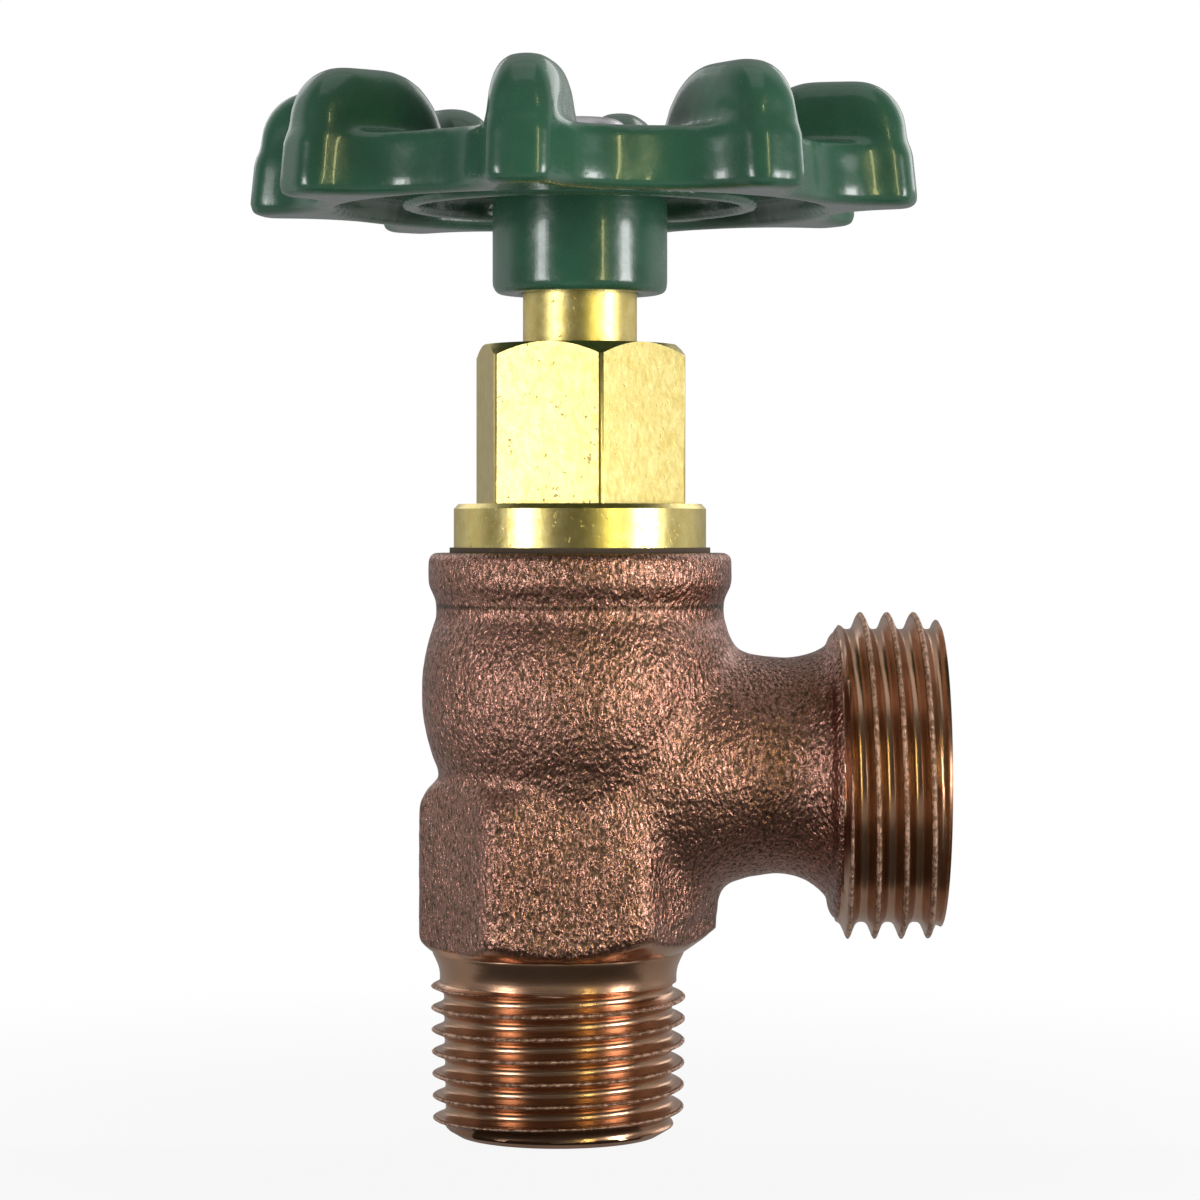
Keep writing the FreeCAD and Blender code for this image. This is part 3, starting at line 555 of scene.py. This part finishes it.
def make_casting(material):
    """The body's rough skin, cut off where the turned ends begin and softened at its edges."""
    mesh = node_copy("valve_body")
    cut_off(mesh, (0, 0, CASTING_BOTTOM), (0, 0, -1))
    cut_off(mesh, (CASTING_RIGHT, 0, 0), (1, 0, 0))
    mesh = remeshed(mesh, CAST_VOXEL)
    smoothed(mesh, CAST_ROUNDS)
    smoothed(mesh, WRENCH_ROUNDS, lambda place: place.z < WRENCH_TOP)
    smoothed(mesh, ROOT_ROUNDS, at_neck_root)
    for vert in mesh.verts:
        grain = noise.noise(vert.co * GRAIN_PER_MM)
        vert.co += vert.normal * grain * GRAIN_DEPTH
    return finish_piece("body_casting", mesh, "valve", material)


def make_inlet_thread(material):
    """The male pipe thread with its chamfer, neck and relief, and the bore inside."""
    start = (0, INLET_END_RADIUS)
    end = (*INLET_NECK, (CASTING_BOTTOM, RELIEF_RADIUS), (INLET_SLEEVE, RELIEF_RADIUS))
    envelope = (
        (start, (INLET_CHAMFER, INLET_END_RADIUS), (INLET_ROOT_TOP, INLET_END_RADIUS), *end),
        (start, (INLET_CHAMFER, INLET_CHAMFER_RADIUS), (INLET_CREST_TOP, INLET_CREST), *end))
    bore = [(INLET_END_RADIUS, 0), (INLET_BORE + INLET_BORE_CHAMFER, 0),
            (INLET_BORE, INLET_BORE_CHAMFER), (INLET_BORE, INLET_SLEEVE),
            (RELIEF_RADIUS, INLET_SLEEVE)]

    def crest(height):
        return INLET_CREST - (INLET_THREAD_TOP - height) * INLET_TAPER

    mesh = threaded_sleeve(INLET_PITCH, INLET_SLEEVE, crest, INLET_DEPTH, INLET_PHASE,
                           envelope, bore)
    return finish_piece("inlet_thread", mesh, "valve", material,
                        THREAD_CREASE)


def make_hose_thread(material):
    """The male hose thread with its plain start, and the outlet's mouth and bore inside."""
    end = (HOSE_SLEEVE, HOSE_ROOT)
    envelope = (
        (*HOSE_ROOT_LEAD, end),
        (*HOSE_CREST_LEAD, (HOSE_CREST_END, HOSE_CREST), (HOSE_ROOT_END, HOSE_ROOT), end))
    bore = [(HOSE_LIP, 0), (MOUTH_RADIUS + MOUTH_CHAMFER, 0), (MOUTH_RADIUS, MOUTH_CHAMFER),
            (MOUTH_RADIUS, MOUTH_DEPTH), (OUTLET_BORE, MOUTH_DEPTH),
            (OUTLET_BORE, HOSE_SLEEVE), (HOSE_ROOT, HOSE_SLEEVE)]
    mesh = threaded_sleeve(HOSE_PITCH, HOSE_SLEEVE, lambda height: HOSE_CREST, HOSE_DEPTH,
                           HOSE_PHASE, envelope, bore)
    turn = Matrix.Rotation(math.radians(-90), 4, "Y")
    place = Matrix.Translation((OUTLET_REACH, 0, OUTLET_HEIGHT))
    bmesh.ops.transform(mesh, matrix=place @ turn, verts=mesh.verts)
    return finish_piece("hose_thread", mesh, "valve", material, THREAD_CREASE)


# The bonnet and the wheel
def make_bonnet_nut(material):
    """The bonnet with its corners cut lower, upright edges rounded and large faces flat."""
    mesh = node_copy("bonnet")
    for vert in mesh.verts:
        out = math.hypot(vert.co.x - STEM_X, vert.co.y) - BONNET_FLAT
        if vert.co.z > BONNET_TOP - CHAMFER_REACH and out > 0:
            vert.co.z -= out * BONNET_FALL
    bmesh.ops.dissolve_limit(mesh, angle_limit=SAME_PLANE, verts=mesh.verts, edges=mesh.edges)
    upright = [edge for edge in mesh.edges
               if abs(edge.verts[0].co.z - edge.verts[1].co.z) > UPRIGHT_LENGTH
               and edge.calc_face_angle(0) > UPRIGHT_ANGLE]
    bmesh.ops.bevel(mesh, geom=upright, offset=UPRIGHT_ROUND, offset_type="OFFSET",
                    segments=UPRIGHT_STEPS, profile=0.5, affect="EDGES", material=-1,
                    clamp_overlap=False)
    piece = finish_piece("bonnet_nut", mesh, "valve", material, BONNET_CREASE)
    for face in piece.data.polygons:
        face.use_smooth = face.area < FLAT_AREA * MM * MM
    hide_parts("bonnet")


def make_wheel(material):
    """The handwheel with softer edges and drafted rim walls."""
    mesh = remeshed(node_copy("handwheel"), WHEEL_VOXEL)
    smoothed(mesh, WHEEL_ROUNDS)
    smoothed(mesh, FINGER_ROUNDS, lambda place: place.z > WALL_TOP)
    for vert in mesh.verts:
        away = Vector((vert.co.x - STEM_X, vert.co.y, 0))
        in_rim = min(max((away.length - WHEEL_WEB) / RIM_FADE, 0), 1)
        out = (DRAFT_LEVEL - min(vert.co.z, DRAFT_TOP)) * WALL_DRAFT * in_rim
        vert.co += away.normalized() * out
    piece = finish_piece("enamelled_wheel", mesh, "spindle", material)
    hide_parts("handwheel")


def dress():
    """Make every piece and give the nodes that stay their finish."""
    casting = make_casting(cast_bronze())
    inlet = make_inlet_thread(
        machined_bronze("machined_inlet", "z", INLET_CREST, INLET_TORN_TOP))
    hose = make_hose_thread(
        machined_bronze("machined_outlet", "x", HOSE_CREST, HOSE_TORN_END))
    for piece in (casting, inlet, hose):
        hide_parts("valve_body")
    make_bonnet_nut(turned_brass("bonnet_brass", BONNET_DULLNESS))
    make_wheel(green_enamel())
    finishes = {
        "brass_turned": turned_brass("turned_brass", BRASS_DULLNESS),
        "spring_steel": plated_steel(),
        "seal_rubber": grained("black_rubber", RUBBER, 5.0, 3, 0.5, dullness=0.45, depth=0.01),
        "gasket_fibre": grained("pressed_fibre", FIBRE, 3.0, 4, 0.7, dullness=0.7, depth=0.03)}
    slots = {part["node"]: part["material_slot"] for part in frame["record"]["subparts"]}
    for name, node in NODES.items():
        if slots[name] in finishes:
            node.data.materials.clear()
            node.data.materials.append(finishes[slots[name]])


# Studio: the camera, in millimetres and pixels of the photograph
CAMERA_FROM_STEM = 1.66
CAMERA_DISTANCE = 310.0
CAMERA_HEIGHT = 49.9
PIXELS_PER_MM = 12.07
HORIZON = 530
IMAGE = 1200
SENSOR = 36.0

# The room's greys: by height from below to above, and behind the valve from its sides inwards
ROOM_GREYS = ((0.0, 0.2), (0.3, 0.18), (0.42, 0.065), (0.5, 0.065), (0.7, 0.11), (1.0, 0.14))
REAR_GREYS = ((0.0, 0.58), (0.4, 0.68), (0.75, 0.38), (1.0, 0.28))
REAR_BLEND = (-0.15, 0.35)

# The floor glows white to the camera, a little less near the valve, and to mirrors by a share
FLOOR_RADIUS = 130
FLOOR_SIDES = 96
FLOOR_GAP = 0.05
SHADOW_REACH = (30, 115)
GLOW_NEAR = 0.92
GLOW_MIRRORED = 0.15

# The dark card lies on the floor before the valve
FLAG_MIDDLE = (10, -28, 0.4)
FLAG_WIDTH = 130
FLAG_DEPTH = 44

# Lamps: name, azimuth, elevation, half width, half height, radiance, colour, distance
LAMP_DISTANCE = 600.0
CORE_DISTANCE = 580.0
LAMPS = (
    ("left_box", -50.5, -1, 10, 13, 4.0, WHITE, LAMP_DISTANCE),
    ("left_core", -50.5, -1, 5, 10, 9.5, WHITE, CORE_DISTANCE),
    ("right_box", 62.5, -1, 10.5, 13, 5.2, WHITE, LAMP_DISTANCE),
    ("right_core", 62.5, -1, 6.5, 10, 10.0, WHITE, CORE_DISTANCE),
    ("window_strip", 30.5, 6, 1.2, 20, 18, WINDOW_LIGHT, LAMP_DISTANCE),
    ("top_box", 0, 75, 22, 22, 0.6, WHITE, LAMP_DISTANCE),
    ("rear_left", 215, 25, 14, 14, 1.0, WHITE, LAMP_DISTANCE),
    ("rear_right", 140, 25, 16, 16, 1.5, WHITE, LAMP_DISTANCE),
)


def make_camera():
    """The photograph's camera, level and with its horizon above the picture's middle."""
    data = bpy.data.cameras.new("camera")
    data.sensor_width = SENSOR
    data.lens = SENSOR * CAMERA_DISTANCE * PIXELS_PER_MM / IMAGE
    data.shift_y = (HORIZON - IMAGE / 2) / IMAGE
    data.clip_start = 0.01
    data.clip_end = 10
    camera = bpy.data.objects.new("camera", data)
    camera.location = Vector((STEM_X + CAMERA_FROM_STEM, -CAMERA_DISTANCE, CAMERA_HEIGHT)) * MM
    camera.rotation_euler = (math.radians(90), 0, 0)
    bpy.context.collection.objects.link(camera)
    bpy.context.scene.camera = camera


def make_softbox(name, azimuth, elevation, half_width, half_height, radiance, colour, distance):
    """An area lamp round the valve, its place and size in degrees as the valve sees them.

    Azimuth 0 is at the camera and positive azimuths go to +X.
    """
    data = bpy.data.lights.new(name, "AREA")
    data.shape = "RECTANGLE"
    data.size = 2 * distance * math.tan(math.radians(half_width)) * MM
    data.size_y = 2 * distance * math.tan(math.radians(half_height)) * MM
    data.energy = radiance * math.pi * data.size * data.size_y
    data.color = colour
    lamp = bpy.data.objects.new(name, data)
    turn, lift = math.radians(azimuth), math.radians(elevation)
    away = Vector((math.sin(turn) * math.cos(lift), -math.cos(turn) * math.cos(lift),
                   math.sin(lift)))
    target = Vector((STEM_X, 0, CAMERA_HEIGHT)) * MM
    lamp.location = target + away * distance * MM
    lamp.rotation_euler = away.to_track_quat("Z", "Y").to_euler()
    bpy.context.collection.objects.link(lamp)


def make_world():
    """White to the camera, and to everything else a grey room that is paler behind the valve."""
    world = bpy.data.worlds.new("studio")
    bpy.context.scene.world = world
    world.use_nodes = True
    graph = Graph(world.node_tree)
    _, depth, height = graph.split(graph.node("ShaderNodeTexCoord", {}, {}, "Generated"))
    room = graph.greys((height + 1) * 0.5, ROOM_GREYS)
    rear = graph.greys(depth, REAR_GREYS)
    mirrored = graph.mix(depth.between(*REAR_BLEND), room, rear)
    seen = graph.mix(graph.rays("Is Camera Ray"), mirrored, WHITE)
    graph.tree.links.new(seen.socket, graph.tree.nodes["Background"].inputs["Color"])


def make_floor():
    """A pale floor under the inlet, which keeps the valve's soft shadow."""
    mesh = bmesh.new()
    bmesh.ops.create_circle(mesh, cap_ends=True, segments=FLOOR_SIDES,
                            radius=FLOOR_RADIUS * MM)
    bmesh.ops.translate(mesh, verts=mesh.verts, vec=(0, 0, -FLOOR_GAP * MM))
    finish = Finish("pale_floor", Roughness=0.9, Base_Color=FLOOR_GREY)
    away = hypot(finish.x, finish.y).between(*SHADOW_REACH)
    glow = finish.rays("Is Camera Ray") * (GLOW_NEAR + away * (1 - GLOW_NEAR))
    glow = glow + finish.rays("Is Glossy Ray") * GLOW_MIRRORED
    glow = glow + finish.rays("Is Transmission Ray") * GLOW_MIRRORED
    lit = Value(finish, finish.shader.outputs[0])
    white = finish.node("ShaderNodeEmission", {}, {})
    mixed = finish.node("ShaderNodeMixShader", {}, {0: glow, 1: lit, 2: white})
    finish.tree.links.new(mixed.socket, finish.tree.nodes["Material Output"].inputs["Surface"])
    staged("floor", mesh, finish.material)


def make_flag():
    """A dark card on the floor before the valve, which only darkens what the metal mirrors."""
    mesh = bmesh.new()
    bmesh.ops.create_grid(mesh, x_segments=1, y_segments=1, size=0.5)
    bmesh.ops.transform(mesh, verts=mesh.verts, matrix=(
        Matrix.Translation(Vector(FLAG_MIDDLE) * MM)
        @ Matrix.Diagonal((FLAG_WIDTH * MM, FLAG_DEPTH * MM, 1, 1))))
    finish = Finish("black_card", Roughness=0.9, Base_Color=CARD_GREY)
    card = staged("black_card", mesh, finish.material)
    card.visible_camera = False
    card.visible_shadow = False


def make_studio():
    """The camera, the white room, the floor with its card, and the lamps."""
    bpy.context.scene.view_settings.view_transform = "Standard"
    make_camera()
    make_world()
    make_floor()
    make_flag()
    for lamp in LAMPS:
        make_softbox(*lamp)


dress()
make_studio()
